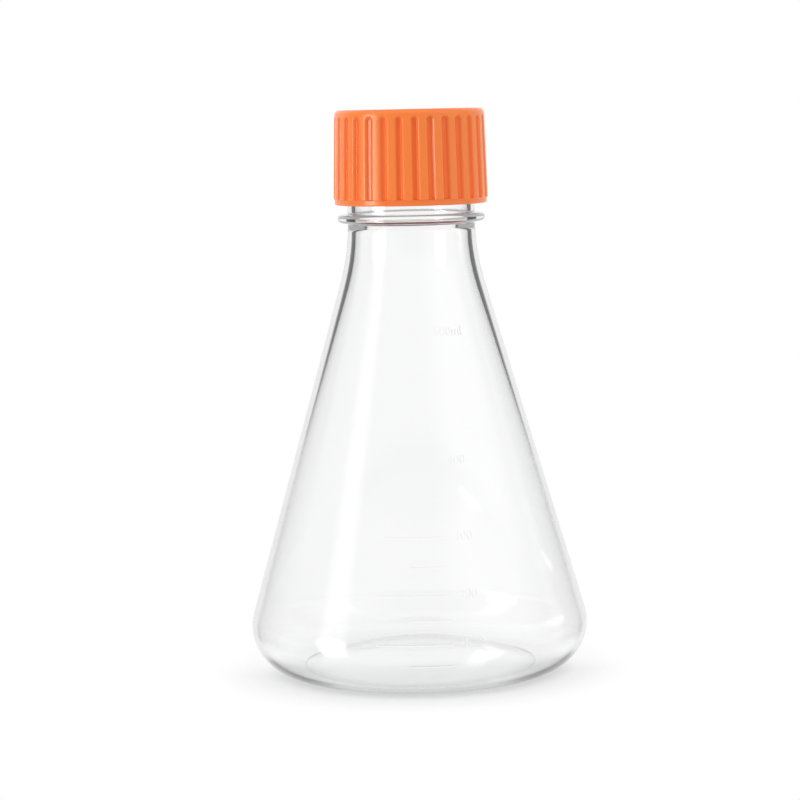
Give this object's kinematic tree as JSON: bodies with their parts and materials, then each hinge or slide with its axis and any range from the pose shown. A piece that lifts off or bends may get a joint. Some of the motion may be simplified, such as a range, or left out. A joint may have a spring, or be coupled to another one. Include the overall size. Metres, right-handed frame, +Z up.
{
  "type": "cell culture flask",
  "caption": "Clear conical shake flask for cell culture, with a flared shoulder, a support bead, moulded volume lines and a ribbed orange screw cap with a membrane vent.",
  "frame": {"origin": "on the table, under the centre of the flask", "axes": "+Z up along the flask's axis; the volume lines are on the front, which faces -Y; +X to the right as seen from the front"},
  "size_m": [0.1034, 0.1034, 0.1719],
  "materials": {
    "clear_plastic": "gloss",
    "orange_plastic": "satin",
    "white_membrane": "matte"
  },
  "bodies": {
    "flask": {"flask_body": "clear_plastic"},
    "cap_lift": {"vent_membrane": "white_membrane"},
    "cap": {"cap_shell": "orange_plastic"}
  },
  "joints": [
    {"name": "cap_rise", "type": "slide", "parent": "flask", "child": "cap_lift", "axis": [0, 0, 1], "range_m": [0, 0.0339]},
    {"name": "cap_turn", "type": "hinge", "parent": "cap_lift", "child": "cap", "pos_m": [0, 0, 0.14334], "axis": [0, 0, 1], "range_deg": [0, 2880]}
  ],
  "couplings": [
    {"joint": "cap_rise", "follows": "cap_turn", "m_per_rad": 0.00067322}
  ]
}
